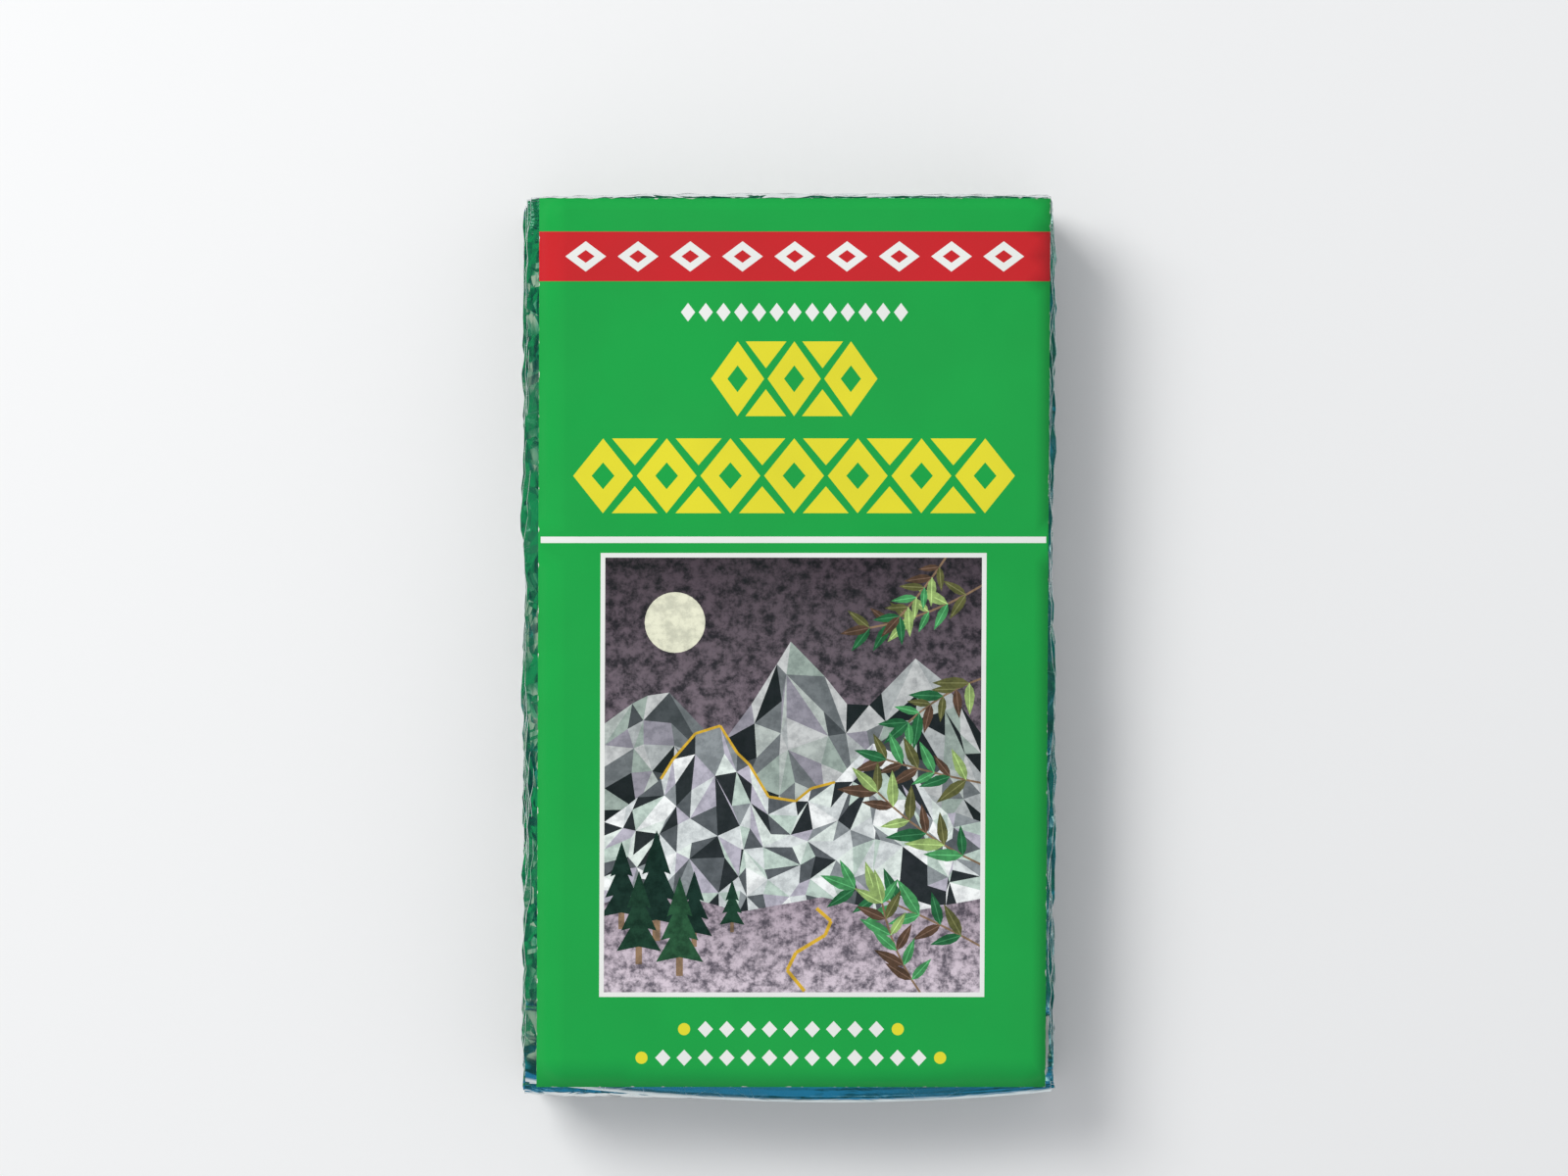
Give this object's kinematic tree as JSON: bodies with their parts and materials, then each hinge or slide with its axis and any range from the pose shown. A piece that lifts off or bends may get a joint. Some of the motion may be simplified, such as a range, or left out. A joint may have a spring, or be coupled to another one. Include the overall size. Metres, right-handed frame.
{
  "type": "folded emergency sleeping bag",
  "caption": "Survival bag of thin metallised film, folded back and forth into a flat pack, with a plain printed label sheet lying on its face.",
  "frame": {"origin": "middle of the flat face that the pack rests on", "axes": "+X to the right and +Y to the top of the label as it is read, +Z out of the label's face"},
  "size_m": [0.0914, 0.1558, 0.0217],
  "materials": {
    "metallised_film": "mirror-bright vapour-coated film, finely creased",
    "label_paper": "coated paper printed edge to edge, satin"
  },
  "bodies": {
    "root": {"folded_bag": "metallised_film", "printed_label": "label_paper"}
  },
  "joints": []
}
